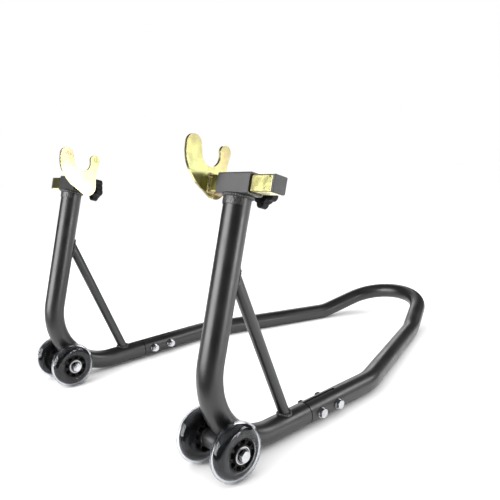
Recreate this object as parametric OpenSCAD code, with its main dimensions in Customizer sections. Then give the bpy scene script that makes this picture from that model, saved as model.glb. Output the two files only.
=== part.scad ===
/* [Wheels] */
// Wheel diameter
wheel_d = 76; // [60:1:100]
// Wheel width
wheel_w = 24; // [18:1:34]
// Distance from a leg's centre plane to each of its wheels' centre planes
wheel_off = 32.3; // [28:0.1:44]

/* [Legs] */
// Distance from the symmetry plane to a leg's centre plane
leg_x = 213.3; // [150:0.1:260]
// Main tube diameter
tube_d = 33; // [28:0.5:38]
// Main tube wall
tube_t = 2.5; // [1.5:0.1:4]
// Lean of the legs towards the handle, degrees
lean = 15.6; // [5:0.1:25]
// Bend radius at the foot of a leg
foot_r = 99; // [97:0.5:110]
// Height of the lower tube's centre line
low_z = 19.3; // [17:0.1:24]
// Where a leg's centre line would meet the lower tube's, along Y from the axle
corner_y = -40.4; // [-50:0.1:-30]
// Distance from that corner to the head tube's centre, along the leg
leg_l = 342; // [300:0.5:380]
// Brace tube diameter
brace_d = 16; // [12:0.5:22]
// Brace tilt from vertical, degrees
brace_tilt = 21.8; // [15:0.1:30]
// Where the brace line meets the lower tube's centre line, along Y from the axle
brace_y = 126.2; // [110:0.1:140]

/* [Head] */
// Outer square tube size
head_w = 25; // [22:0.5:32]
// Outer square tube inner size
head_in = 21; // [18:0.5:28]
// Outer square tube length
head_l = 55; // [45:0.5:70]
// Sliding square tube size
arm_w = 20; // [16:0.5:26]
// Sliding square tube wall
arm_t = 2; // [1:0.1:3]
// Hook plate's outer face, distance from the symmetry plane
plate_x = 168; // [150:0.5:180]
// Hook plate thickness
plate_t = 4; // [3:0.5:8]
// Sliding tube's outer end, distance from the symmetry plane
arm_end_x = 273.5; // [260:0.5:290]
// End cap flange thickness
cap_t = 4; // [3:0.5:8]
// Notch radius of the hook
notch_r = 14.4; // [12:0.1:16]

/* [Clamp knob] */
// Knob radius over its lobes
knob_r = 20.2; // [18:0.1:24]
// Number of lobes
knob_lobes = 5; // [4:1:6]
// Thread radius of the studs and bolts
bolt_r = 4; // [3:0.5:5]

/* [Handle] */
// Where the handle tube begins, along Y from the axle
joint_y = 162; // [150:0.5:180]
// First kink, along Y from the axle
kink1_y = 323.7; // [300:0.5:350]
// Second kink, distance from the symmetry plane
kink2_x = 116.6; // [100:0.5:140]
// Second kink, along Y from the axle
kink2_y = 625.4; // [600:0.5:650]
// Second kink, height of the centre line
kink2_z = 16.3; // [15:0.1:20]
// Rise of the end loop, degrees
loop_rise = 16.8; // [10:0.1:25]
// In-plane distance from the second kink to where the loop's sides would meet
loop_tip = 323.7; // [280:0.5:360]
// Loop radius
loop_r = 93; // [80:0.5:110]
// Kink bend radius
kink_r = 99; // [50:0.5:120]

/* [Hidden] */
$fn = 96;
eps = 0.02;
run_fit = 0.05;
lap = 0.5;
step = 0.02;
tube_r = tube_d / 2;
bore_r = tube_r - tube_t;
axle_z = wheel_d / 2;
tip_y = kink2_y + loop_tip * cos(loop_rise);
tip_z = kink2_z + loop_tip * sin(loop_rise);
half_turn = acos(kink2_x == 0 ? 0 : loop_tip / norm([kink2_x, loop_tip]));
apex_s = loop_tip - loop_r / sin(half_turn) + loop_r;
back_y = kink2_y + apex_s * cos(loop_rise) + tube_r;
mid_y = (back_y - axle_z) / 2;
head_y = corner_y + leg_l * sin(lean);
head_z = low_z + leg_l * cos(lean);
boss_h = 18;
nut_af = 13;
nut_r = nut_af / 2 / cos(30);
chamfer = 0.8;
notch_u = -12.5;
notch_v = 33.5;
bolt_ys = [181, 220.5];

black = [0.06, 0.06, 0.065];
plastic = [0.04, 0.04, 0.042];
zinc = [0.85, 0.8, 0.45];
bright = [0.78, 0.79, 0.8];
smoke = [0.2, 0.21, 0.26];

function unit(v) = v / norm(v);
function turn(a, b, c) = acos(unit(b - a) * unit(c - b));
function trim(a, b, c, r) = r * tan(turn(a, b, c) / 2);
function polar(c, r, a) = [c[0] + r * cos(a), c[1] + r * sin(a)];
function arc(c, r, a0, a1, n) = [for (i = [0:n]) polar(c, r, a0 + (a1 - a0) * i / n)];

// Everything is drawn with the wheel axle at y = 0, then moved so the part's base centre is the origin
module placed(s = 1) {
  translate([0, -mid_y, 0]) if (s > 0) children(); else mirror([1, 0, 0]) children();
}

// Round bar between two points
module rod(p, q, r) {
  d = q - p;
  translate(p) rotate([0, acos(d[2] / norm(d)), atan2(d[1], d[0])]) cylinder(h = norm(d), r = r);
}

// Round bend that joins the lines a-b and b-c
module elbow(a, b, c, rad, r) {
  d1 = unit(b - a);
  d2 = unit(c - b);
  m = unit(d2 - d1 * (d2 * d1));
  o = b - d1 * trim(a, b, c, rad) + m * rad;
  n = cross(-m, d1);
  frame = [for (i = [0:2]) [-m[i], d1[i], n[i], o[i]]];
  multmatrix(concat(frame, [[0, 0, 0, 1]]))
    rotate_extrude(angle = turn(a, b, c)) translate([rad, 0]) circle(r = r);
}

// Bar along a list of points, bent at the inner ones, its ends moved outwards by e0 and e1
module bar(pts, rads, r, e0 = 0, e1 = 0) {
  n = len(pts);
  for (i = [0:n - 2]) {
    d = unit(pts[i + 1] - pts[i]);
    a = i == 0 ? -e0 : trim(pts[i - 1], pts[i], pts[i + 1], rads[i]);
    b = i == n - 2 ? -e1 : trim(pts[i], pts[i + 1], pts[i + 2], rads[i + 1]);
    lap0 = i == 0 ? 0 : lap;
    lap1 = i == n - 2 ? 0 : lap;
    rod(pts[i] + d * (a - lap0), pts[i + 1] - d * (b - lap1), r);
  }
  for (i = [1:n - 2]) elbow(pts[i - 1], pts[i], pts[i + 1], rads[i], r - step);
}

// Frame of the leg's head: x across, y square to the leg and rearwards, z up along the leg
module head_frame() { translate([0, head_y, head_z]) rotate([-lean, 0, 0]) children(); }

// Bar across the part, along X
module across(x0, x1, y, z, r, fn = 96) {
  translate([x0, y, z]) rotate([0, 90, 0]) cylinder(h = x1 - x0, r = r, $fn = fn);
}

// Chamfered hexagon across the part, along X; face is 1 or -1 for the chamfered end
module hex_across(x0, x1, y, z, face) {
  h = x1 - x0;
  c = nut_af / 2 - 0.1;
  translate([face > 0 ? x0 : x1, y, z]) rotate([0, face * 90, 0]) intersection() {
    cylinder(h = h, r = nut_r, $fn = 6);
    union() {
      translate([0, 0, -1]) cylinder(h = h - chamfer + 1, r = nut_r + 1);
      translate([0, 0, h - chamfer]) cylinder(h = chamfer, r1 = c + chamfer * 1.8, r2 = c);
    }
  }
}

// Square outline of width w with corners of radius r
function rounded(w, r) = [for (k = [0:3]) each arc([(w / 2 - r) * (k == 0 || k == 3 ? 1 : -1),
  (w / 2 - r) * (k < 2 ? 1 : -1)], r, 90 * k, 90 * k + 90, 5)];

// Square bar in the head frame, along X
module square_bar(x0, x1, w, r) {
  translate([x0, 0, 0]) rotate([90, 0, 90]) linear_extrude(x1 - x0) polygon(rounded(w, r));
}

leg_top = leg_l - head_w / 2;
leg_pts = [
  [leg_x, corner_y + leg_top * sin(lean), low_z + leg_top * cos(lean)],
  [leg_x, corner_y, low_z],
  [leg_x, joint_y - 1.6, low_z]
];

module leg_solid(r, e0 = 0, e1 = 0) { bar(leg_pts, [0, foot_r, 0], r, e0, e1); }

module brace_axis(r, e = 0) {
  top = 264;
  foot = [leg_x, brace_y, low_z];
  h = (top - low_z) / cos(brace_tilt);
  translate(foot) rotate([brace_tilt, 0, 0]) translate([0, 0, -e]) cylinder(h = h + 2 * e, r = r);
}

// Leg tube: flat-fronted at the top, bent at the foot, and drilled for nothing but the joint sleeve
module leg_tube() {
  color(black) difference() {
    leg_solid(tube_r);
    leg_solid(bore_r, 1, 1);
    head_frame() translate([leg_x - 20, -head_w / 2 - 10, -head_w / 2 - 12.5]) cube([40, 10, 14]);
  }
}

// Brace tube, coped onto both main tubes
module brace() {
  color(black) difference() {
    brace_axis(brace_d / 2);
    brace_axis(brace_d / 2 - 1.8, 1);
    leg_solid(tube_r + eps);
  }
}

// Fillet beads at the two ends of the brace
module brace_weld() {
  w = brace_d / 2;
  color(black) difference() {
    translate([leg_x, brace_y, low_z]) rotate([brace_tilt, 0, 0]) {
      translate([0, 0, 14.2]) cylinder(h = 5.2, r1 = w + 3.4, r2 = w + 0.3);
      translate([0, 0, 239]) cylinder(h = 9, r1 = w + 0.3, r2 = w + 3);
    }
    brace_axis(w + eps, 20);
    leg_solid(tube_r + eps);
  }
}

// Outer square tube, fixed on top of the leg, with the clamp hole in its rear wall
module head_tube() {
  color(black) head_frame() difference() {
    square_bar(leg_x - head_l / 2 - 0.3, leg_x + head_l / 2 - 0.3, head_w, 2);
    square_bar(leg_x - head_l, leg_x + head_l, head_in, 0.8);
    translate([leg_x, 0, 0]) rotate([-90, 0, 0]) cylinder(h = head_w, r = bolt_r + run_fit);
  }
}

// Plug that closes the leg under the square tube and fills its flattened front
module head_pad() {
  color(black) head_frame() intersection() {
    translate([leg_x, 0, -head_w / 2 - 13]) cylinder(h = 13, r = bore_r - 0.02);
    union() {
      translate([leg_x - 20, -head_w / 2, -head_w / 2 - 12.4]) cube([40, 3, 12.4]);
      translate([leg_x - 20, -head_w / 2, -head_w / 2 - 2]) cube([40, head_w + 10, 2]);
    }
  }
}

// Fillet bead round the top of the leg
module head_weld() {
  color(black) head_frame() difference() {
    translate([leg_x, 0, -head_w / 2 - 2.4]) rotate_extrude() translate([tube_r - 0.4, 0]) circle(r = 2.4);
    translate([leg_x, 0, -60]) cylinder(h = 80, r = tube_r + eps);
    translate([leg_x - 30, -40 - head_w / 2, -30]) cube([60, 40, 40]);
  }
}

// Threaded bush on the rear wall of the square tube
module clamp_nut() {
  color(black) head_frame() translate([leg_x, head_w / 2, 0]) rotate([-90, 0, 0]) difference() {
    union() {
      cylinder(h = 6.5, r = nut_r, $fn = 6);
      cylinder(h = 1.6, r = 9.5);
    }
    translate([0, 0, -1]) cylinder(h = 9, r = bolt_r + run_fit);
  }
}

// Clamp stud: its tip stops just short of the sliding tube
module clamp_stud() {
  color(bright) head_frame() translate([leg_x, arm_w / 2 + 0.3, 0]) rotate([-90, 0, 0]) {
    cylinder(h = 1.2, r1 = bolt_r - 1.2, r2 = bolt_r);
    translate([0, 0, 1.2]) cylinder(h = 33.5, r = bolt_r);
  }
}

// Star knob on the stud
module knob() {
  r_l = 6.2;
  p = knob_r - r_l;
  color(plastic) head_frame() translate([leg_x, 31, 0]) rotate([-90, 0, 0]) difference() {
    union() {
      translate([0, 0, -4]) cylinder(h = 10, r = 9);
      translate([0, 0, 4.4]) cylinder(h = 13.2, r = 14.6);
      translate([0, 0, 17]) cylinder(h = 2.2, r1 = 14, r2 = 10.5);
      for (i = [0:knob_lobes - 1]) rotate(i * 360 / knob_lobes + 90) translate([p, 0, 5]) {
        cylinder(h = 1.4, r1 = r_l - 1.4, r2 = r_l);
        translate([0, 0, 1.4]) cylinder(h = 9.2, r = r_l);
        translate([0, 0, 10.6]) cylinder(h = 1.6, r1 = r_l, r2 = r_l - 1.6);
      }
    }
    translate([0, 0, -5]) cylinder(h = 19.5, r = bolt_r + run_fit);
  }
}

// Sliding square tube
module slide_arm() {
  color(zinc) head_frame() difference() {
    square_bar(plate_x, arm_end_x, arm_w, 1.8);
    square_bar(plate_x - 1, arm_end_x + 1, arm_w - 2 * arm_t, 0.6);
  }
}

// Wall of the hook's notch, k times its half width from the notch centre
function notch_wall(k) = polar([notch_u, notch_v], k * (notch_r + 0.15), lean);

// Outline of the hook plate in the head frame: x rearwards, y up along the leg
hook_outline = concat(
  arc([8.7, 42], 8.2, -5, 180 + lean, 16),
  [notch_wall(1), notch_wall(-1)],
  arc([-41, 40], 11, lean, 186, 14),
  [[-51.2, 29.5], [-49.2, 22], [-46.4, 15.6], [-42.4, 9.6]],
  [[-38, 4.9], [-32.8, -0.2], [-27, -5]],
  arc([1.8, -3], 15.2, 236, 356, 12),
  [[15.6, 8], [14.9, 20], [15.4, 31]]
);

// Hook plate: upright U notch between a tall front horn and a short rear horn
module hook_plate() {
  color(zinc) head_frame() difference() {
    translate([plate_x - plate_t, 0, 0]) rotate([90, 0, 90]) linear_extrude(plate_t) polygon(hook_outline);
    translate([plate_x - plate_t - 1, notch_u, notch_v]) rotate([0, 90, 0])
      cylinder(h = plate_t + 2, r = notch_r);
  }
}

// Weld bead between the hook plate and the sliding tube
module hook_weld() {
  h = arm_w / 2;
  b = 2.6;
  color(zinc) head_frame() difference() {
    for (k = [0:3]) rotate([90 * k, 0, 0]) {
      translate([plate_x + 0.4, h - 0.2, -h]) cylinder(h = arm_w, r = b);
      translate([plate_x + 0.4, h - 0.2, h - 0.2]) sphere(r = b);
    }
    translate([plate_x - 10, -h - eps, -h - eps]) cube([40, arm_w + 2 * eps, arm_w + 2 * eps]);
    translate([plate_x - 10 + eps, -30, -30]) cube([10, 60, 60]);
  }
}

// Plastic end cap with a plug inside the sliding tube
module end_cap() {
  w = arm_w - 2 * arm_t - 0.1;
  color(plastic) head_frame() {
    square_bar(arm_end_x, arm_end_x + cap_t - 0.8, arm_w, 1.6);
    square_bar(arm_end_x + cap_t - 0.8, arm_end_x + cap_t, arm_w - 1.2, 1);
    square_bar(arm_end_x - 12, arm_end_x, w, 0.7);
  }
}

// Axle boss, coped under the bend of the leg
module axle_boss() {
  color(black) difference() {
    across(leg_x - boss_h, leg_x + boss_h, 0, axle_z, 12);
    across(leg_x - boss_h - 1, leg_x + boss_h + 1, 0, axle_z, bolt_r + 0.15);
    leg_solid(tube_r + eps);
  }
}

hub_spokes = 8;
axle_in = leg_x - wheel_off - wheel_w / 2;
axle_out = leg_x + wheel_off + wheel_w / 2;

// Axle bolt through both wheels of a leg, head outside
module axle_bolt() {
  color(bright) {
    across(axle_in - 9.5, axle_out, 0, axle_z, bolt_r);
    hex_across(axle_out, axle_out + 5.3, 0, axle_z, 1);
  }
}

// Lock nut at the inner end of the axle bolt
module axle_nut() {
  color(bright) difference() {
    union() {
      hex_across(axle_in - 6.2, axle_in, 0, axle_z, -1);
      across(axle_in - 8, axle_in - 6.2, 0, axle_z, 5.6);
    }
    across(axle_in - 9, axle_in + 1, 0, axle_z, bolt_r + 0.01);
  }
}

// Spacers between the boss and the wheels
module axle_spacers() {
  gap = wheel_off - wheel_w / 2;
  color(bright) for (s = [-1, 1]) difference() {
    across(leg_x + (s > 0 ? boss_h : -gap), leg_x + (s > 0 ? gap : -boss_h), 0, axle_z, 6);
    across(leg_x - gap - 1, leg_x + gap + 1, 0, axle_z, bolt_r + 0.06);
  }
}

// Inner races and the sleeves between them, which stay still on the bolt
module inner_races() {
  color(bright) for (w = [-1, 1]) for (k = [-1, 0, 1]) {
    c = leg_x + w * wheel_off + k * (wheel_w / 2 - 3.5);
    h = k == 0 ? wheel_w / 2 - 7 : 3.5;
    difference() {
      across(c - h, c + h, 0, axle_z, k == 0 ? 5.2 : 6);
      across(c - h - 1, c + h + 1, 0, axle_z, bolt_r + 0.06);
    }
  }
}

// Spins a profile drawn as (radius, distance along the axle) about the axle of wheel w
module wheel_spin(w) {
  translate([leg_x + w * wheel_off, 0, axle_z]) rotate([0, 90, 0]) rotate_extrude() children();
}

rim_r = 21.2;
core_r = 8.6;
tread_r = axle_z - wheel_w / 2;

// Half section of the hub's core ring, which fills the tyre but for its clear outer layer
module core_section(grow = 0) {
  translate([tread_r, 0]) circle(r = core_r + grow);
  translate([rim_r - 1, -core_r + 0.2 - grow]) square([tread_r - rim_r + 1, 2 * (core_r - 0.2 + grow)]);
}

// Tyre: round tread, square sides, cast round the hub's core ring
module tyre(w) {
  r = wheel_w / 2;
  color(smoke) wheel_spin(w) difference() {
    union() {
      translate([tread_r, 0]) circle(r = r);
      translate([rim_r, -r + 0.6]) square([tread_r - rim_r, wheel_w - 1.2]);
    }
    translate([0, -r - 1]) square([rim_r, wheel_w + 2]);
    core_section(eps);
  }
}

// Hub: rim with a core ring sunk in the tyre, spokes and bearing seat
module hub(w) {
  r = wheel_w / 2;
  c = leg_x + w * wheel_off;
  color(plastic) difference() {
    union() {
      wheel_spin(w) {
        translate([rim_r - 1.6, -10.8]) square([1.6, 21.6]);
        core_section();
        translate([9, -r + 0.2]) square([3.6, wheel_w - 0.4]);
      }
      for (k = [0:hub_spokes - 1]) for (t = [-1, 1])
        translate([c, 0, axle_z]) rotate([k * 360 / hub_spokes + 8, 0, 0])
          translate([-8.5, -0.6, 11.8]) rotate([t * 19, 0, 0]) cube([17, 1.2, 8.7]);
    }
    for (s = [-1, 1]) across(c + (s > 0 ? r - 7 : -r - 1), c + (s > 0 ? r + 1 : -r + 7), 0, axle_z, 11);
  }
}

// Outer races and shields of a wheel's two bearings
module bearings(w) {
  color(bright) for (s = [-1, 1]) wheel_spin(w) translate([0, s * (wheel_w / 2 - 3.5)]) difference() {
    translate([6.4, -3.5]) square([4.6, 7]);
    for (k = [-1, 1]) {
      translate([6, k * 3.7 - 0.5]) square([3.6, 1]);
      translate([8.7, k * 2.7 - 0.6]) square([0.9, 1.2]);
    }
    translate([6, -1.8]) square([3.6, 3.6]);
  }
}

handle_pts = [
  [leg_x, joint_y, low_z], [leg_x, kink1_y, low_z], [kink2_x, kink2_y, kink2_z], [0, tip_y, tip_z],
  [-kink2_x, kink2_y, kink2_z], [-leg_x, kink1_y, low_z], [-leg_x, joint_y, low_z]
];
handle_rads = [0, kink_r, kink_r, loop_r, kink_r, kink_r, 0];

// Handle: one bent tube, slotted along the top of each end and drilled for the joint bolts
module handle() {
  color(black) difference() {
    bar(handle_pts, handle_rads, tube_r);
    bar(handle_pts, handle_rads, bore_r, 1, 1);
    for (s = [-1, 1]) {
      translate([s * leg_x - 2.2, joint_y - 1, low_z + 8]) cube([4.4, 69, 12]);
      translate([s * leg_x, joint_y + 68, low_z + 8]) cylinder(h = 12, r = 2.2);
      for (y = bolt_ys) across(s * leg_x - 20, s * leg_x + 20, y, low_z, bolt_r + 0.15);
    }
  }
}

// Sleeve inside both tubes at the joint
module joint_sleeve() {
  color(black) difference() {
    rod([leg_x, joint_y - 50, low_z], [leg_x, joint_y + 76, low_z], bore_r - 0.08);
    rod([leg_x, joint_y - 51, low_z], [leg_x, joint_y + 77, low_z], bore_r - 2.6);
    for (y = bolt_ys) across(leg_x - 20, leg_x + 20, y, low_z, bolt_r + 0.15);
  }
}

seat = tube_r - 0.4;

// Washers bedded on the tube's sides under the joint bolts and nuts
module joint_washers() {
  color(bright) for (y = bolt_ys) for (s = [-1, 1]) difference() {
    across(leg_x + (s > 0 ? 13 : -seat - 1.6), leg_x + (s > 0 ? seat + 1.6 : -13), y, low_z, 7.6);
    across(leg_x - 30, leg_x + 30, y, low_z, bolt_r + 0.15);
    translate([leg_x, y - 20, low_z]) rotate([-90, 0, 0]) cylinder(h = 40, r = tube_r + eps);
  }
}

// Joint bolts, heads outside
module joint_bolts() {
  o = seat + 1.6;
  color(bright) for (y = bolt_ys) {
    across(leg_x - o - 9, leg_x + o, y, low_z, bolt_r);
    hex_across(leg_x + o, leg_x + o + 5.3, y, low_z, 1);
  }
}

// Lock nuts of the joint bolts
module joint_nuts() {
  o = seat + 1.6;
  color(bright) for (y = bolt_ys) difference() {
    union() {
      hex_across(leg_x - o - 5.8, leg_x - o, y, low_z, -1);
      across(leg_x - o - 7.8, leg_x - o - 5.8, y, low_z, 5.6);
    }
    across(leg_x - o - 9, leg_x - o + 1, y, low_z, bolt_r + 0.01);
  }
}

placed(1) leg_tube();  // leg_tube_left
placed(-1) leg_tube();  // leg_tube_right
placed(1) brace();  // brace_left
placed(-1) brace();  // brace_right
placed(1) brace_weld();  // brace_weld_left
placed(-1) brace_weld();  // brace_weld_right
placed(1) head_tube();  // head_tube_left
placed(-1) head_tube();  // head_tube_right
placed(1) head_pad();  // head_pad_left
placed(-1) head_pad();  // head_pad_right
placed(1) head_weld();  // head_weld_left
placed(-1) head_weld();  // head_weld_right
placed(1) clamp_nut();  // clamp_nut_left
placed(-1) clamp_nut();  // clamp_nut_right
placed(1) clamp_stud();  // clamp_stud_left
placed(-1) clamp_stud();  // clamp_stud_right
placed(1) knob();  // knob_left
placed(-1) knob();  // knob_right
placed(1) slide_arm();  // slide_arm_left
placed(-1) slide_arm();  // slide_arm_right
placed(1) hook_plate();  // hook_plate_left
placed(-1) hook_plate();  // hook_plate_right
placed(1) hook_weld();  // hook_weld_left
placed(-1) hook_weld();  // hook_weld_right
placed(1) end_cap();  // end_cap_left
placed(-1) end_cap();  // end_cap_right
placed(1) axle_boss();  // axle_boss_left
placed(-1) axle_boss();  // axle_boss_right
placed(1) axle_bolt();  // axle_bolt_left
placed(-1) axle_bolt();  // axle_bolt_right
placed(1) axle_nut();  // axle_nut_left
placed(-1) axle_nut();  // axle_nut_right
placed(1) axle_spacers();  // axle_spacers_left
placed(-1) axle_spacers();  // axle_spacers_right
placed(1) inner_races();  // inner_races_left
placed(-1) inner_races();  // inner_races_right
placed(1) tyre(1);  // tyre_left_outer
placed(1) tyre(-1);  // tyre_left_inner
placed(-1) tyre(1);  // tyre_right_outer
placed(-1) tyre(-1);  // tyre_right_inner
placed(1) hub(1);  // hub_left_outer
placed(1) hub(-1);  // hub_left_inner
placed(-1) hub(1);  // hub_right_outer
placed(-1) hub(-1);  // hub_right_inner
placed(1) bearings(1);  // bearings_left_outer
placed(1) bearings(-1);  // bearings_left_inner
placed(-1) bearings(1);  // bearings_right_outer
placed(-1) bearings(-1);  // bearings_right_inner
placed() handle();  // handle_tube
placed(1) joint_sleeve();  // joint_sleeve_left
placed(-1) joint_sleeve();  // joint_sleeve_right
placed(1) joint_bolts();  // joint_bolts_left
placed(-1) joint_bolts();  // joint_bolts_right
placed(1) joint_nuts();  // joint_nuts_left
placed(-1) joint_nuts();  // joint_nuts_right
placed(1) joint_washers();  // joint_washers_left
placed(-1) joint_washers();  // joint_washers_right
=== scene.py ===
"""Looks of a motorcycle rear paddock stand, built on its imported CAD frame."""

import logging
import math
from dataclasses import dataclass
from enum import Enum
from typing import Sequence

import bpy
from mathutils import Matrix, Vector

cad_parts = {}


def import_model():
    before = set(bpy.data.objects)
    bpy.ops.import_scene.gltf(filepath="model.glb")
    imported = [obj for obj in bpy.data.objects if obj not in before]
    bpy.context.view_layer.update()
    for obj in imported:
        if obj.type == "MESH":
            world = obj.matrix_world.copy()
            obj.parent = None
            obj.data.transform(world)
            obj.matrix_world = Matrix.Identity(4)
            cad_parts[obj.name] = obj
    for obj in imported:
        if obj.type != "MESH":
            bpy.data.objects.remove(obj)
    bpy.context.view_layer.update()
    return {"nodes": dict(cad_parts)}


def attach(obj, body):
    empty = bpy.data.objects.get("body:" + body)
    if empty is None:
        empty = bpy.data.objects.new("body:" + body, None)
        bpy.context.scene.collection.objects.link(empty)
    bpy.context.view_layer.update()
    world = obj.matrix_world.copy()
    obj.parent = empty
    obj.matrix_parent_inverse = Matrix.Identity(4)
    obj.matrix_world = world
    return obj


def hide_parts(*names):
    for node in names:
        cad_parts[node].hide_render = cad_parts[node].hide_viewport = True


log = logging.getLogger("stand")

Colour = tuple[float, float, float]
Spot = tuple[float, float, float]


class Side(Enum):
    """Side of the stand, as its sign along X."""

    LEFT = 1
    RIGHT = -1

    @property
    def word(self) -> str:
        """Name used in node names."""
        return self.name.lower()


class Place(Enum):
    """Where a wheel sits on its leg's axle."""

    OUTER = 1
    INNER = -1

    @property
    def word(self) -> str:
        """Name used in node names."""
        return self.name.lower()


class BraceEnd(Enum):
    """The two welded ends of a brace."""

    FOOT = "foot"
    TOP = "top"


class Slot(Enum):
    """Names of the stand's material slots."""

    BLACK_COAT = "black_coat"
    YELLOW_ZINC = "yellow_zinc"
    BRIGHT_ZINC = "bright_zinc"
    BLACK_PLASTIC = "black_plastic"


class Graph:
    """Small helper that lays out a material's shader nodes."""

    bevel_samples = 4
    full_turn = 0.75
    slight_turn = 0.995

    def __init__(self, name: str) -> None:
        """Starts an empty node material.

        Args:
            name: the material's name.
        """
        self.material = bpy.data.materials.new(name)
        self.material.use_nodes = True
        self.tree = self.material.node_tree
        self.tree.nodes.clear()
        self.output = self.tree.nodes.new("ShaderNodeOutputMaterial")
        self.coords = self.tree.nodes.new("ShaderNodeTexCoord").outputs["Object"]

    def node(self, kind: str, **values: object) -> bpy.types.Node:
        """Adds a node and sets its properties and sockets.

        Args:
            kind: the node's type name.
            values: properties, or sockets with spaces written as underscores.

        Returns:
            The new node.
        """
        made = self.tree.nodes.new(kind)
        for key, value in values.items():
            if hasattr(made, key):
                setattr(made, key, value)
            else:
                made.inputs[key.replace("_", " ")].default_value = value
        return made

    def link(self, source: bpy.types.NodeSocket, target: bpy.types.NodeSocket) -> None:
        """Joins two sockets."""
        self.tree.links.new(source, target)

    def noise(self, scale: float, detail: float = 4.0, rough: float = 0.5) -> bpy.types.NodeSocket:
        """Noise over the object's own coordinates.

        Args:
            scale: features per metre.
            detail: octaves.
            rough: how strong the finer octaves are.

        Returns:
            The factor output.
        """
        made = self.node("ShaderNodeTexNoise", Scale=scale, Detail=detail, Roughness=rough)
        self.link(self.coords, made.inputs["Vector"])
        return made.outputs["Fac"]

    def spread(self, source: bpy.types.NodeSocket, low: float, high: float,
               start: float = 0.35, end: float = 0.65) -> bpy.types.NodeSocket:
        """Maps a factor between two values.

        Args:
            source: the factor.
            low: value at start.
            high: value at end.
            start: factor where the ramp begins.
            end: factor where it ends.

        Returns:
            The mapped value.
        """
        made = self.node("ShaderNodeMapRange")
        for index, value in ((1, start), (2, end), (3, low), (4, high)):
            made.inputs[index].default_value = value
        self.link(source, made.inputs[0])
        return made.outputs[0]

    def ramp(self, source: bpy.types.NodeSocket,
             stops: Sequence[tuple[float, Colour]]) -> bpy.types.NodeSocket:
        """Colours a factor.

        Args:
            source: the factor.
            stops: position and colour of each stop.

        Returns:
            The colour output.
        """
        made = self.node("ShaderNodeValToRGB")
        ramp = made.color_ramp
        for index, (place, colour) in enumerate(stops):
            stop = ramp.elements[index] if index < 2 else ramp.elements.new(place)
            stop.position = place
            stop.color = (*colour, 1.0)
        self.link(source, made.inputs["Fac"])
        return made.outputs["Color"]

    def mix(self, factor: bpy.types.NodeSocket, first: bpy.types.NodeSocket | Colour,
            second: bpy.types.NodeSocket | Colour) -> bpy.types.NodeSocket:
        """Mixes two colours.

        Args:
            factor: how much of the second.
            first: socket or plain colour.
            second: socket or plain colour.

        Returns:
            The mixed colour.
        """
        made = self.node("ShaderNodeMix", data_type="RGBA")
        self.link(factor, made.inputs["Factor"])
        for index, colour in ((6, first), (7, second)):
            if isinstance(colour, tuple):
                made.inputs[index].default_value = (*colour, 1.0)
            else:
                self.link(colour, made.inputs[index])
        return made.outputs[2]

    def bump(self, layers: Sequence[tuple[bpy.types.NodeSocket, float, float]]) -> bpy.types.NodeSocket:
        """Stacks bump layers.

        Args:
            layers: height factor, strength and depth in metres of each layer.

        Returns:
            The normal output.
        """
        normal = None
        for height, strength, depth in layers:
            made = self.node("ShaderNodeBump", Strength=strength, Distance=depth)
            self.link(height, made.inputs["Height"])
            if normal is not None:
                self.link(normal, made.inputs["Normal"])
            normal = made.outputs["Normal"]
        return normal

    def shade(self, sockets: dict[str, bpy.types.NodeSocket], **values: object) -> bpy.types.Material:
        """Ends the graph in one Principled shader.

        Args:
            sockets: shader input names and what feeds them.
            values: plain shader values, spaces written as underscores.

        Returns:
            The finished material.
        """
        shader = self.node("ShaderNodeBsdfPrincipled")
        for key, value in values.items():
            shader.inputs[key.replace("_", " ")].default_value = value
        for key, socket in sockets.items():
            self.link(socket, shader.inputs[key])
        self.link(shader.outputs["BSDF"], self.output.inputs["Surface"])
        return self.material

    def edges(self, width: float) -> bpy.types.NodeSocket:
        """Factor that is high where a surface turns a corner.

        Args:
            width: reach of the corner in metres.

        Returns:
            Zero on flat surfaces, up to one at edges.
        """
        bevel = self.node("ShaderNodeBevel", samples=self.bevel_samples, Radius=width)
        geometry = self.node("ShaderNodeNewGeometry")
        dot = self.node("ShaderNodeVectorMath", operation="DOT_PRODUCT")
        self.link(bevel.outputs["Normal"], dot.inputs[0])
        self.link(geometry.outputs["Normal"], dot.inputs[1])
        return self.spread(dot.outputs["Value"], 1.0, 0.0, self.full_turn, self.slight_turn)


@dataclass(frozen=True)
class PowderCoat:
    """Satin black powder coat on steel tube."""

    name: str = "satin_black_coat"
    base: Colour = (0.0065, 0.0065, 0.0072)
    worn: Colour = (0.013, 0.013, 0.0136)
    roughness: float = 0.34
    gloss: float = 0.7

    def material(self) -> bpy.types.Material:
        """Builds the coat: faint orange peel, dust-fine grain and slightly polished patches.

        Returns:
            The finished material.
        """
        g = Graph(self.name)
        patch = g.noise(22.0, 5.0, 0.6)
        peel = g.noise(900.0, 2.0, 0.5)
        grain = g.noise(3800.0, 2.0, 0.5)
        colour = g.mix(g.spread(patch, 0.0, 0.6), self.base, self.worn)
        rough = g.spread(patch, self.roughness - 0.05, self.roughness + 0.06)
        normal = g.bump([(peel, 0.16, 0.0004), (grain, 0.10, 0.0001)])
        return g.shade({"Base Color": colour, "Roughness": rough, "Normal": normal},
                       Specular_IOR_Level=self.gloss)


@dataclass(frozen=True)
class RoughWeld:
    """Powder coat over a welded, rippled surface."""

    base: Colour = (0.011, 0.011, 0.012)
    ripples: float = 600.0

    def material(self) -> bpy.types.Material:
        """Builds the coat over beads and spatter.

        Returns:
            The finished material.
        """
        g = Graph("coated_weld")
        lumps = g.noise(self.ripples, 3.0, 0.6)
        spatter = g.noise(1500.0, 2.0, 0.5)
        rough = g.spread(spatter, 0.3, 0.5)
        colour = g.mix(g.spread(lumps, 0.0, 1.0), self.base, (0.04, 0.039, 0.04))
        normal = g.bump([(lumps, 0.35, 0.0006), (spatter, 0.3, 0.0003)])
        return g.shade({"Base Color": colour, "Roughness": rough, "Normal": normal}, Specular_IOR_Level=0.8)


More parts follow.
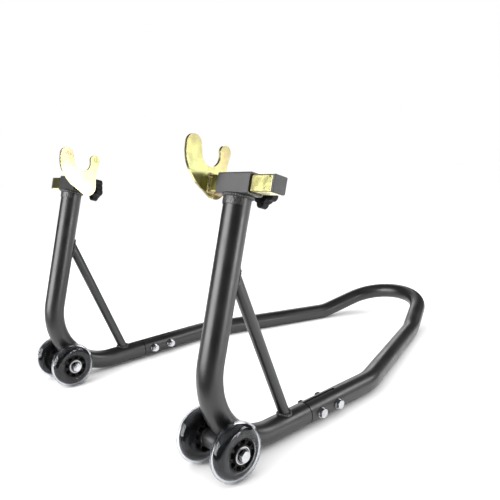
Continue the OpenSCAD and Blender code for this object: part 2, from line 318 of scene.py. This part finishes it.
@dataclass(frozen=True)
class YellowZinc:
    """Yellow passivated zinc plate with its rainbow tint."""

    name: str = "yellow_zinc"
    pale: Colour = (0.82, 0.79, 0.36)
    deep: Colour = (0.76, 0.67, 0.22)
    pink: Colour = (0.86, 0.62, 0.42)
    green: Colour = (0.66, 0.75, 0.36)
    roughness: float = 0.17
    lumpy: bool = False

    def material(self) -> bpy.types.Material:
        """Builds the plate: drifting tints, fine rolling grain and a painted pink highlight along the edges.

        Returns:
            The finished material.
        """
        g = Graph(self.name)
        drift = g.noise(26.0, 2.0, 0.4)
        cloud = g.noise(60.0, 4.0, 0.6)
        fine = g.noise(2200.0, 3.0, 0.6)
        tint = g.ramp(drift, [(0.30, self.green), (0.44, self.pale), (0.56, self.pale), (0.70, self.pink)])
        colour = g.mix(g.spread(cloud, 0.0, 0.35), tint, self.deep)
        # painted highlight: the edges are mixed towards a brighter pink
        colour = g.mix(g.edges(0.0012), colour, (0.90, 0.66, 0.58))
        rough = g.spread(cloud, self.roughness - 0.05, self.roughness + 0.08)
        layers = [(fine, 0.12, 0.00012)]
        if self.lumpy:
            layers.insert(0, (g.noise(380.0, 3.0, 0.6), 0.9, 0.0012))
        return g.shade({"Base Color": colour, "Roughness": rough, "Normal": g.bump(layers)}, Metallic=1.0)


@dataclass(frozen=True)
class BrightZinc:
    """Bright zinc plate on bolts, nuts and bearings."""

    base: Colour = (0.60, 0.61, 0.63)
    roughness: float = 0.17

    def material(self) -> bpy.types.Material:
        """Builds the plate: cloudy tarnish and tumbling marks.

        Returns:
            The finished material.
        """
        g = Graph("bright_zinc")
        cloud = g.noise(160.0, 4.0, 0.6)
        marks = g.noise(2600.0, 3.0, 0.6)
        colour = g.mix(g.spread(cloud, 0.0, 0.7), self.base, (0.44, 0.45, 0.47))
        rough = g.spread(cloud, self.roughness - 0.06, self.roughness + 0.12)
        return g.shade({"Base Color": colour, "Roughness": rough, "Normal": g.bump([(marks, 0.2, 0.0001)])},
                       Metallic=1.0)


@dataclass(frozen=True)
class BearingSteel:
    """Sealed bearing: bright races with painted shade in the gaps and a greyer shield between them."""

    axle_y: float = -0.37005
    axle_z: float = 0.038
    bright: Colour = (0.58, 0.58, 0.59)
    shield: Colour = (0.22, 0.22, 0.225)
    # painted shade: near-black colour painted in the gaps between the rings and inside the inner ring
    gap: Colour = (0.012, 0.012, 0.012)

    def material(self) -> bpy.types.Material:
        """Builds the rings about the axle line, with painted shade in the gaps, and faint turning marks.

        Returns:
            The finished material.
        """
        g = Graph("bearing_steel")
        centred = g.node("ShaderNodeMapping")
        centred.inputs["Location"].default_value = (0.0, -self.axle_y, -self.axle_z)
        g.link(g.coords, centred.inputs["Vector"])
        flat = g.node("ShaderNodeVectorMath", operation="MULTIPLY")
        flat.inputs[1].default_value = (0.0, 1.0, 1.0)
        g.link(centred.outputs["Vector"], flat.inputs[0])
        radius = g.node("ShaderNodeVectorMath", operation="LENGTH")
        g.link(flat.outputs["Vector"], radius.inputs[0])
        span = g.spread(radius.outputs["Value"], 0.0, 1.0, 0.0, 0.0125)
        # the near-black stops are painted shade between the races and the shield
        rings = g.ramp(span, [(0.62, self.gap), (0.66, self.shield), (0.69, self.bright), (0.71, self.gap),
                              (0.76, self.gap), (0.79, self.bright)])
        marks = g.noise(2600.0, 3.0, 0.6)
        rough = g.spread(marks, 0.18, 0.34)
        return g.shade({"Base Color": rings, "Roughness": rough, "Normal": g.bump([(marks, 0.15, 0.0001)])},
                       Metallic=1.0)


@dataclass(frozen=True)
class MouldedPlastic:
    """Black moulded plastic with a fine spark-eroded texture."""

    name: str = "moulded_black"
    base: Colour = (0.005, 0.005, 0.0054)
    roughness: float = 0.5
    gloss: float = 0.2
    # paler edge colour: partly wear, partly painted highlight
    edge: Colour = (0.035, 0.035, 0.036)

    def material(self) -> bpy.types.Material:
        """Builds the plastic: grain, flow marks and paler edges that are partly wear and partly painted
        highlight.

        Returns:
            The finished material.
        """
        g = Graph(self.name)
        grain = g.noise(2400.0, 2.0, 0.6)
        flow = g.noise(70.0, 4.0, 0.6)
        colour = g.mix(g.spread(flow, 0.0, 0.8), self.base, (0.015, 0.015, 0.0155))
        # paler edges: partly wear, partly painted highlight
        colour = g.mix(g.edges(0.0008), colour, self.edge)
        rough = g.spread(grain, self.roughness - 0.08, self.roughness + 0.1)
        return g.shade({"Base Color": colour, "Roughness": rough, "Normal": g.bump([(grain, 0.3, 0.00015)])},
                       Specular_IOR_Level=self.gloss)


@dataclass(frozen=True)
class SmokyUrethane:
    """Smoky clear polyurethane tyre: a clear skin that shows the wheel's dark core."""

    smoke: Colour = (0.56, 0.58, 0.60)
    density: float = 45.0

    def material(self) -> bpy.types.Material:
        """Builds the tyre: clear skin with fine scuffs and moulding swirls over smoky depth.

        Returns:
            The finished material.
        """
        g = Graph("smoky_urethane")
        cloud = g.noise(90.0, 3.0, 0.5)
        scuff = g.noise(1200.0, 4.0, 0.7)
        colour = g.mix(g.spread(cloud, 0.0, 1.0), (0.86, 0.87, 0.91), (0.78, 0.80, 0.85))
        rough = g.spread(scuff, 0.03, 0.12, 0.4, 0.7)
        normal = g.bump([(cloud, 0.04, 0.0006), (scuff, 0.04, 0.0001)])
        depth = g.node("ShaderNodeVolumeAbsorption", Color=(*self.smoke, 1.0), Density=self.density)
        g.link(depth.outputs["Volume"], g.output.inputs["Volume"])
        return g.shade({"Base Color": colour, "Roughness": rough, "Normal": normal},
                       Transmission_Weight=1.0, IOR=1.33)


class Finishes:
    """The stand's materials, made once and shared."""

    def __init__(self) -> None:
        """Builds every material."""
        self.coat = PowderCoat().material()
        # lighter, glossier copy of the same black coat: painted light on the square head tubes
        self.head_coat = PowderCoat(
            name="head_coat", base=(0.03, 0.03, 0.0315), worn=(0.04, 0.04, 0.042), roughness=0.36, gloss=0.85,
        ).material()
        self.weld = RoughWeld().material()
        self.yellow = YellowZinc().material()
        self.yellow_weld = YellowZinc(
            name="yellow_zinc_weld", pale=(0.62, 0.48, 0.30), deep=(0.36, 0.25, 0.12),
            pink=(0.60, 0.36, 0.34), green=(0.42, 0.42, 0.22), roughness=0.26, lumpy=True,
        ).material()
        self.bright = BrightZinc().material()
        self.plastic = MouldedPlastic().material()
        self.cap = MouldedPlastic(
            name="cap_black", base=(0.035, 0.035, 0.0365), roughness=0.55, gloss=0.9,
        ).material()
        # the hub's much paler edge colour is a painted highlight that makes the dark spokes stand out
        self.hub = MouldedPlastic(
            name="hub_black", base=(0.003, 0.0032, 0.0036), roughness=0.45, gloss=0.05,
            edge=(0.14, 0.14, 0.145),
        ).material()
        self.bearing = BearingSteel().material()
        self.urethane = SmokyUrethane().material()


class Bench:
    """Modelling steps that the sub-assemblies share."""

    merge_gap = 4e-6
    flat_angle = 0.6

    @staticmethod
    def pick(thing: bpy.types.Object) -> None:
        """Makes one object the only one selected.

        Args:
            thing: the object.
        """
        bpy.ops.object.select_all(action="DESELECT")
        thing.select_set(True)
        bpy.context.view_layer.objects.active = thing

    @classmethod
    def apply(cls, piece: bpy.types.Object) -> None:
        """Applies a piece's modifiers in order.

        Args:
            piece: the piece.
        """
        cls.pick(piece)
        for name in [modifier.name for modifier in piece.modifiers]:
            bpy.ops.object.modifier_apply(modifier=name)

    @classmethod
    def softened(cls, node: bpy.types.Object, name: str, width: float, sharp: float = 35.0,
                 segments: int = 2) -> bpy.types.Object:
        """Copies a CAD node and rounds its sharp edges.

        Args:
            node: the CAD object.
            name: name of the new piece.
            width: reach of the rounding in metres.
            sharp: edges that turn by more than this are rounded, in degrees.
            segments: faces across each rounding.

        Returns:
            The rounded piece.
        """
        piece = bpy.data.objects.new(name, node.data.copy())
        bpy.context.collection.objects.link(piece)
        cls.pick(piece)
        bpy.ops.object.mode_set(mode="EDIT")
        bpy.ops.mesh.select_all(action="SELECT")
        bpy.ops.mesh.remove_doubles(threshold=cls.merge_gap)
        bpy.ops.mesh.dissolve_limited(angle_limit=math.radians(cls.flat_angle))
        bpy.ops.object.mode_set(mode="OBJECT")
        rounding = piece.modifiers.new("rounding", "BEVEL")
        rounding.width = width
        rounding.segments = segments
        rounding.limit_method = "ANGLE"
        rounding.angle_limit = math.radians(sharp)
        rounding.miter_outer = "MITER_ARC"
        cls.apply(piece)
        return piece

    @staticmethod
    def settle(piece: bpy.types.Object, place: Vector, lean: float) -> None:
        """Tilts a piece about X, moves it to its place and applies both.

        Args:
            piece: the piece, modelled at the origin.
            place: where it goes.
            lean: tilt in radians.
        """
        Bench.pick(piece)
        piece.rotation_euler = (lean, 0.0, 0.0)
        piece.location = place
        bpy.ops.object.transform_apply(location=True, rotation=True, scale=True)


@dataclass(frozen=True)
class WeldBead:
    """Rippled weld bead: overlapping drops melted into one skin."""

    radius: float
    voxel: float = 0.00042
    segments: int = 14
    rings: int = 9
    swell: tuple[float, float] = (0.09, 0.05)
    rhythm: tuple[float, float] = (2.3, 5.1)
    calm_factor: float = 0.5
    calm_passes: int = 2

    def drop_radius(self, index: int) -> float:
        """Gives one drop's radius, which varies a little along the bead.

        Args:
            index: the drop's number.

        Returns:
            The radius in metres.
        """
        slow = self.swell[0] * math.sin(index * self.rhythm[0])
        quick = self.swell[1] * math.sin(index * self.rhythm[1] + 1.0)
        return self.radius * (1.0 + slow + quick)

    def drop(self, radius: float, centre: Vector) -> None:
        """Adds one drop.

        Args:
            radius: its radius in metres.
            centre: its place.
        """
        bpy.ops.mesh.primitive_uv_sphere_add(segments=self.segments, ring_count=self.rings,
                                             radius=radius, location=centre)

    def lay(self, name: str, path: Sequence[Vector]) -> bpy.types.Object:
        """Lays the bead along a path.

        Args:
            name: name of the new piece.
            path: the drops' centres.

        Returns:
            The bead.
        """
        bpy.ops.object.select_all(action="DESELECT")
        self.drop(self.radius, path[0])
        piece = bpy.context.object
        piece.name = name
        bpy.ops.object.transform_apply(location=True, rotation=True, scale=True)
        bpy.ops.object.mode_set(mode="EDIT")
        for index, centre in enumerate(path[1:]):
            self.drop(self.drop_radius(index), centre)
        bpy.ops.object.mode_set(mode="OBJECT")
        skin = piece.modifiers.new("skin", "REMESH")
        skin.mode = "VOXEL"
        skin.voxel_size = self.voxel
        calm = piece.modifiers.new("calm", "SMOOTH")
        calm.factor = self.calm_factor
        calm.iterations = self.calm_passes
        Bench.apply(piece)
        return piece


@dataclass(frozen=True)
class HammeredBand:
    """Hammered band round the front of an upright tube, made standing on the origin."""

    radius: float = 0.01652
    height: float = 0.0122
    half_turn: float = 70.0
    wall: float = 0.0011
    depth: float = 0.0008
    grain: float = 0.0019
    columns: int = 180
    rows: int = 20
    rest_level: float = 0.6

    def sheet(self, name: str) -> bpy.types.Object:
        """Cuts the band's sheet out of an open tube and divides it into rows.

        Args:
            name: name of the new piece.

        Returns:
            The thin sheet.
        """
        bpy.ops.object.select_all(action="DESELECT")
        bpy.ops.mesh.primitive_cylinder_add(vertices=self.columns, radius=self.radius, depth=self.height,
                                            end_fill_type="NOTHING")
        piece = bpy.context.object
        piece.name = name
        bpy.ops.object.mode_set(mode="EDIT")
        bpy.ops.mesh.select_all(action="DESELECT")
        bpy.ops.object.mode_set(mode="OBJECT")
        for face in piece.data.polygons:
            turn = math.degrees(math.atan2(face.center.x, -face.center.y))
            face.select = abs(turn) > self.half_turn
        bpy.ops.object.mode_set(mode="EDIT")
        bpy.ops.mesh.delete(type="FACE")
        bpy.ops.mesh.select_mode(type="EDGE")
        bpy.ops.mesh.select_all(action="DESELECT")
        bpy.ops.object.mode_set(mode="OBJECT")
        for edge in piece.data.edges:
            ends = [piece.data.vertices[index].co.z for index in edge.vertices]
            edge.select = abs(ends[0] - ends[1]) > self.height / 2
        bpy.ops.object.mode_set(mode="EDIT")
        bpy.ops.mesh.subdivide(number_cuts=self.rows)
        bpy.ops.object.mode_set(mode="OBJECT")
        return piece

    def make(self, name: str) -> bpy.types.Object:
        """Gives the sheet its wall and its dents.

        Args:
            name: name of the new piece.

        Returns:
            The band.
        """
        piece = self.sheet(name)
        wall = piece.modifiers.new("wall", "SOLIDIFY")
        wall.thickness = self.wall
        wall.offset = 1.0
        dents = bpy.data.textures.new(f"{name}_dents", "CLOUDS")
        dents.noise_scale = self.grain
        dents.noise_depth = 2
        hammer = piece.modifiers.new("hammering", "DISPLACE")
        hammer.texture = dents
        hammer.strength = self.depth
        hammer.mid_level = self.rest_level
        Bench.apply(piece)
        return piece


@dataclass(frozen=True)
class Layout:
    """Where the stand's joints between tubes lie, in millimetres from the axle."""

    leg_x: float = 213.3
    shift_y: float = -370.05
    lean: float = 15.6
    tube: float = 16.5
    corner: tuple[float, float] = (-40.4, 19.3)
    head: tuple[float, float] = (51.57, 348.7)
    brace: float = 8.0
    brace_y: float = 126.2
    brace_tilt: float = 21.8
    arm: float = 10.0
    plate_x: float = 168.0
    brace_bead_out: float = 0.9
    tube_bead_out: float = 0.7

    def point(self, side: Side, x: float, y: float, z: float) -> Vector:
        """Turns a place on the left half into metres on either side.

        Args:
            side: which side.
            x: distance from the symmetry plane.
            y: distance behind the axle.
            z: height.

        Returns:
            The place in metres.
        """
        return Vector((x * side.value, y + self.shift_y, z)) / 1000.0

    def head_point(self, side: Side, x: float, u: float, v: float) -> Vector:
        """Turns a place in the leaning head's frame into metres.

        Args:
            side: which side.
            x: distance from the symmetry plane.
            u: rearwards, square to the leg.
            v: up along the leg.

        Returns:
            The place in metres.
        """
        lean = math.radians(self.lean)
        y = self.head[0] + u * math.cos(lean) + v * math.sin(lean)
        return self.point(side, x, y, self.head[1] - u * math.sin(lean) + v * math.cos(lean))

    def leg_ring(self, side: Side, radius: float, v: float, count: int) -> list[Vector]:
        """Places round the top of a leg, where it meets the square tube.

        Args:
            side: which side.
            radius: of the ring.
            v: height in the head's frame.
            count: how many places.

        Returns:
            The places in metres.
        """
        turns = [2.0 * math.pi * index / count for index in range(count)]
        return [self.head_point(side, self.leg_x + radius * math.cos(turn), radius * math.sin(turn), v)
                for turn in turns]

    def arm_square(self, side: Side, x: float, reach: float, count: int) -> list[Vector]:
        """Places round the sliding tube, where it meets the hook plate.

        Args:
            side: which side.
            x: distance from the symmetry plane.
            reach: half the width of the square.
            count: how many places on each of its sides.

        Returns:
            The places in metres.
        """
        steps = [2.0 * reach * index / count - reach for index in range(count)]
        square = [(step, -reach) for step in steps] + [(reach, step) for step in steps]
        square += [(-step, reach) for step in steps] + [(-reach, -step) for step in steps]
        return [self.head_point(side, x, u, v) for u, v in square]

    def brace_ring(self, side: Side, end: BraceEnd, count: int) -> list[Vector]:
        """Places round an end of the brace, where it meets a main tube.

        Args:
            side: which side.
            end: the foot stands on the lower tube, and the top meets the leg.
            count: how many places.

        Returns:
            The places in metres.
        """
        tilt, lean = math.radians(self.brace_tilt), math.radians(self.lean)
        along = Vector((0.0, -math.sin(tilt), math.cos(tilt)))
        out = Vector((0.0, math.cos(tilt), math.sin(tilt)))
        foot = Vector((0.0, self.brace_y, self.corner[1]))
        corner = Vector((0.0, *self.corner))
        top = end is BraceEnd.TOP
        facing = Vector((0.0, math.cos(lean), -math.sin(lean))) if top else Vector((0.0, 0.0, 1.0))
        start = foot - corner if top else Vector()
        radius, reach = self.brace + self.brace_bead_out, self.tube + self.tube_bead_out
        places = []
        for index in range(count):
            turn = 2.0 * math.pi * index / count
            across = radius * math.cos(turn)
            near = start + out * (radius * math.sin(turn))
            run = (math.sqrt(reach ** 2 - across ** 2) - near.dot(facing)) / along.dot(facing)
            spot = foot + out * (radius * math.sin(turn)) + along * run
            places.append(self.point(side, self.leg_x + across, spot.y, spot.z))
        return places


@dataclass
class Assembly:
    """Base of the sub-assemblies: finds CAD nodes, adds pieces and dresses both."""

    nodes: dict[str, bpy.types.Object]
    finishes: Finishes
    layout: Layout = Layout()
    flat_weight: int = 90

    def coat(self, thing: bpy.types.Object, material: bpy.types.Material, angle: float = 32.0) -> None:
        """Gives an object its finish and smooth shading.

        Args:
            thing: the object.
            material: its finish.
            angle: edges sharper than this stay sharp, in degrees.
        """
        thing.data.materials.clear()
        thing.data.materials.append(material)
        Bench.pick(thing)
        bpy.ops.object.shade_smooth_by_angle(angle=math.radians(angle))
        log.info("dressed %s in %s", thing.name, material.name)

    def dress(self, name: str, material: bpy.types.Material) -> None:
        """Dresses a CAD node.

        Args:
            name: the node.
            material: its finish.
        """
        self.coat(self.nodes[name], material)

    def place(self, piece: bpy.types.Object, body: str, slot: Slot, material: bpy.types.Material,
              stands_for: Sequence[str] = (), angle: float = 40.0, crisp: bool = False) -> None:
        """Dresses a new piece and ties it to the frame.

        Args:
            piece: the new piece.
            body: the CAD body it rides on.
            slot: the material slot; not used.
            material: its finish.
            stands_for: CAD nodes that it replaces.
            angle: edges sharper than this stay sharp, in degrees.
            crisp: keep large faces flat-shaded up to their rounded edges.
        """
        self.coat(piece, material, angle)
        if crisp:
            flats = piece.modifiers.new("flats", "WEIGHTED_NORMAL")
            flats.keep_sharp = True
            flats.weight = self.flat_weight
            Bench.apply(piece)
        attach(piece, body)
        if stands_for:
            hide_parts(*stands_for)

    def soften(self, node: str, width: float, body: str, slot: Slot, material: bpy.types.Material,
               sharp: float = 35.0) -> None:
        """Puts a rounded copy in a CAD node's place.

        Args:
            node: the CAD node.
            width: reach of the rounding in metres.
            body: the CAD body it rides on.
            slot: the material slot; passed on to place, which does not use it.
            material: its finish.
            sharp: edges that turn by more than this are rounded, in degrees.
        """
        piece = Bench.softened(self.nodes[node], f"{node}_rounded", width, sharp)
        self.place(piece, body, slot, material, [node], crisp=True)


@dataclass
class Frame(Assembly):
    """Welded legs, braces and heads, and the bent handle; rings and heights in millimetres."""

    head_edge: float = 0.0004
    bush_edge: float = 0.0004
    head_ring: float = 17.4
    head_ring_v: float = -13.9
    head_drops: int = 36
    brace_drops: int = 22
    band_v: float = -18.8
    head_bead: WeldBead = WeldBead(0.0023)
    foot_bead: WeldBead = WeldBead(0.0022)
    top_bead: WeldBead = WeldBead(0.0021)
    band: HammeredBand = HammeredBand()

    def welds(self, side: Side) -> None:
        """Lays the rippled beads of one leg.

        Args:
            side: which side.
        """
        word, lay = side.word, self.layout
        head = lay.leg_ring(side, self.head_ring, self.head_ring_v, self.head_drops)
        foot = lay.brace_ring(side, BraceEnd.FOOT, self.brace_drops)
        top = lay.brace_ring(side, BraceEnd.TOP, self.brace_drops)
        beads = (
            (self.head_bead.lay(f"head_bead_{word}", head), "head_weld"),
            (self.foot_bead.lay(f"brace_foot_bead_{word}", foot), "brace_weld"),
            (self.top_bead.lay(f"brace_top_bead_{word}", top), "brace_weld"),
        )
        for piece, node in beads:
            self.place(piece, "frame", Slot.BLACK_COAT, self.finishes.weld, [f"{node}_{word}"])

    def wrap(self, side: Side) -> None:
        """Lays the hammered band on the front of a leg, under its square tube.

        Args:
            side: which side.
        """
        lay = self.layout
        piece = self.band.make(f"head_wrap_{side.word}")
        spot = lay.head_point(side, lay.leg_x, 0.0, self.band_v)
        Bench.settle(piece, spot, -math.radians(lay.lean))
        self.place(piece, "frame", Slot.BLACK_COAT, self.finishes.weld)

    def build(self) -> None:
        """Dresses the tubes and lays their welds."""
        coat, head_coat = self.finishes.coat, self.finishes.head_coat
        for side in Side:
            for part in ("leg_tube", "brace", "axle_boss", "joint_sleeve"):
                self.dress(f"{part}_{side.word}", coat)
            self.dress(f"head_pad_{side.word}", self.finishes.weld)
            # the square head tubes get the painted-light copy of the black coat
            self.soften(f"head_tube_{side.word}", self.head_edge, "frame", Slot.BLACK_COAT, head_coat)
            self.soften(f"clamp_nut_{side.word}", self.bush_edge, "frame", Slot.BLACK_COAT, coat)
            self.welds(side)
            self.wrap(side)
        self.dress("handle_tube", coat)


@dataclass
class Axles(Assembly):
    """Axle bolts and the wheels that turn on them."""

    hub_edge: float = 0.0003
    bearing_edge: float = 0.0002

    def build(self) -> None:
        """Dresses bolts, races and wheels."""
        made = self.finishes
        for side in Side:
            for part in ("axle_bolt", "axle_nut", "axle_spacers", "inner_races"):
                self.dress(f"{part}_{side.word}", made.bright)
            for place in Place:
                key = f"{side.word}_{place.word}"
                wheel = f"wheel_{key}"
                self.dress(f"tyre_{key}", made.urethane)
                self.soften(f"hub_{key}", self.hub_edge, wheel, Slot.BLACK_PLASTIC, made.hub)
                self.soften(f"bearings_{key}", self.bearing_edge, wheel, Slot.BRIGHT_ZINC, made.bearing)


@dataclass
class Hooks(Assembly):
    """Sliding tubes with their hook plates, caps and clamp knobs; bead sizes in millimetres."""

    arm_edge: float = 0.0002
    arm_sharp: float = 60.0
    plate_edge: float = 0.0005
    plate_sharp: float = 45.0
    cap_edge: float = 0.0005
    knob_edge: float = 0.0009
    bead_x: float = 0.7
    bead_out: float = 0.4
    bead_drops: int = 7
    bead: WeldBead = WeldBead(0.0019, 0.00036)

    def weld(self, side: Side) -> None:
        """Lays the bead between a hook plate and its sliding tube.

        Args:
            side: which side.
        """
        lay, word = self.layout, side.word
        path = lay.arm_square(side, lay.plate_x + self.bead_x, lay.arm + self.bead_out, self.bead_drops)
        piece = self.bead.lay(f"hook_bead_{word}", path)
        self.place(piece, f"arm_{word}", Slot.YELLOW_ZINC, self.finishes.yellow_weld, [f"hook_weld_{word}"])

    def build(self) -> None:
        """Rounds, welds and dresses both hooks."""
        made = self.finishes
        for side in Side:
            word, arm = side.word, f"arm_{side.word}"
            self.soften(f"slide_arm_{word}", self.arm_edge, arm, Slot.YELLOW_ZINC, made.yellow,
                        self.arm_sharp)
            self.soften(f"hook_plate_{word}", self.plate_edge, arm, Slot.YELLOW_ZINC, made.yellow,
                        self.plate_sharp)
            self.soften(f"end_cap_{word}", self.cap_edge, arm, Slot.BLACK_PLASTIC, made.cap)
            self.soften(f"knob_{word}", self.knob_edge, f"knob_{word}", Slot.BLACK_PLASTIC, made.plastic)
            self.weld(side)
            self.dress(f"clamp_stud_{word}", made.bright)


@dataclass
class HandleJoints(Assembly):
    """Bolts that hold the handle to the legs."""

    washer_edge: float = 0.0003

    def build(self) -> None:
        """Dresses the fasteners."""
        bright = self.finishes.bright
        for side in Side:
            self.soften(f"joint_washers_{side.word}", self.washer_edge, "frame", Slot.BRIGHT_ZINC, bright)
            for part in ("joint_bolts", "joint_nuts"):
                self.dress(f"{part}_{side.word}", bright)


@dataclass(frozen=True)
class Softbox:
    """One rectangular studio light."""

    name: str
    place: Spot
    aim: Spot
    size: tuple[float, float]
    power: float

    def hang(self) -> bpy.types.Object:
        """Makes the light and points it.

        Returns:
            The light's object.
        """
        data = bpy.data.lights.new(self.name, "AREA")
        data.shape = "RECTANGLE"
        data.size, data.size_y = self.size
        data.energy = self.power
        lamp = bpy.data.objects.new(self.name, data)
        bpy.context.collection.objects.link(lamp)
        way = Vector(self.aim) - Vector(self.place)
        lamp.matrix_world = Matrix.Translation(self.place) @ way.to_track_quat("-Z", "Y").to_matrix().to_4x4()
        lamp.visible_camera = False
        return lamp


@dataclass
class Studio:
    """Floor, light and camera."""

    floor_size: float = 30.0
    eye: Spot = (0.67878, -0.7519, 0.37038)
    yaw: float = 47.43
    pitch: float = 12.97
    roll: float = -2.03
    lens: float = 38.48
    shift: tuple[float, float] = (0.0194, 0.0776)
    room: float = 0.07
    sky: float = 3.45
    sweep_turn: float = 10.0
    sweep_start: float = -0.56
    sweep_x: float = 0.3
    sky_spread: float = 110.0
    sensor: float = 36.0
    boxes: tuple[Softbox, ...] = (
        Softbox("long_left", (-0.4, -2.25, 0.8), (0.1, -0.1, 0.2), (1.85, 1.5), 70.0),
        Softbox("low_right", (1.5, 0.22, 0.18), (0.2, -0.25, 0.15), (0.45, 0.34), 5.5),
        Softbox("wall_right", (2.6, 1.35, 0.62), (0.0, -0.1, 0.3), (1.8, 1.2), 5.0),
        Softbox("high_right", (1.5, 1.7, 1.25), (0.1, 0.1, 0.05), (1.1, 0.7), 17.0),
        Softbox("back_strip", (-1.6, 1.9, 1.0), (0.0, 0.0, 0.15), (1.4, 0.9), 12.0),
    )

    def floor(self) -> None:
        """Lays a plain pale floor that ends just in front of the stand, like a paper sweep."""
        turn = math.radians(self.sweep_turn)
        reach = self.floor_size / 2
        place = (self.sweep_x - math.sin(turn) * reach, self.sweep_start + math.cos(turn) * reach, 0.0)
        bpy.ops.mesh.primitive_plane_add(size=self.floor_size, location=place, rotation=(0.0, 0.0, turn))
        plane = bpy.context.object
        plane.name = "studio_floor"
        g = Graph("pale_floor")
        cloud = g.noise(3.0, 2.0, 0.5)
        colour = g.mix(g.spread(cloud, 0.0, 1.0), (0.93, 0.93, 0.93), (0.95, 0.95, 0.95))
        plane.data.materials.append(g.shade({"Base Color": colour}, Roughness=0.9))

    def walls(self) -> None:
        """Makes the room white where it is seen and dimmer where it lights the stand."""
        world = bpy.data.worlds.new("white_room")
        world.use_nodes = True
        tree = world.node_tree
        back = tree.nodes["Background"]
        back.inputs["Color"].default_value = (1.0, 1.0, 1.0, 1.0)
        seen = tree.nodes.new("ShaderNodeLightPath")
        level = tree.nodes.new("ShaderNodeMapRange")
        level.inputs[3].default_value = self.room
        level.inputs[4].default_value = 1.0
        tree.links.new(seen.outputs["Is Camera Ray"], level.inputs[0])
        tree.links.new(level.outputs[0], back.inputs["Strength"])
        bpy.context.scene.world = world

    def sky_light(self) -> None:
        """Lights the whole floor evenly from above, without a highlight of its own."""
        data = bpy.data.lights.new("sky_panel", "SUN")
        data.energy = self.sky
        data.angle = math.radians(self.sky_spread)
        lamp = bpy.data.objects.new("sky_panel", data)
        lamp.visible_glossy = False
        bpy.context.collection.objects.link(lamp)

    def camera(self) -> None:
        """Places the camera."""
        data = bpy.data.cameras.new("camera")
        data.lens = self.lens
        data.sensor_width = self.sensor
        data.shift_x, data.shift_y = self.shift
        camera = bpy.data.objects.new("camera", data)
        turn = Matrix.Rotation(math.radians(self.yaw), 4, "Z")
        tilt = Matrix.Rotation(math.radians(90.0 - self.pitch), 4, "X")
        lean = Matrix.Rotation(math.radians(self.roll), 4, "Z")
        camera.matrix_world = Matrix.Translation(self.eye) @ turn @ tilt @ lean
        bpy.context.collection.objects.link(camera)
        bpy.context.scene.camera = camera

    def build(self) -> None:
        """Sets up the whole studio."""
        self.floor()
        self.walls()
        self.sky_light()
        for box in self.boxes:
            box.hang()
        self.camera()
        bpy.context.scene.view_settings.view_transform = "Standard"


def main() -> None:
    """Builds the stand's looks in order."""
    logging.basicConfig(level=logging.INFO, format="%(name)s: %(message)s")
    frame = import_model()
    finishes = Finishes()
    for assembly in (Frame, Axles, Hooks, HandleJoints):
        assembly(frame["nodes"], finishes).build()
    Studio().build()


if __name__ == "__main__":
    main()
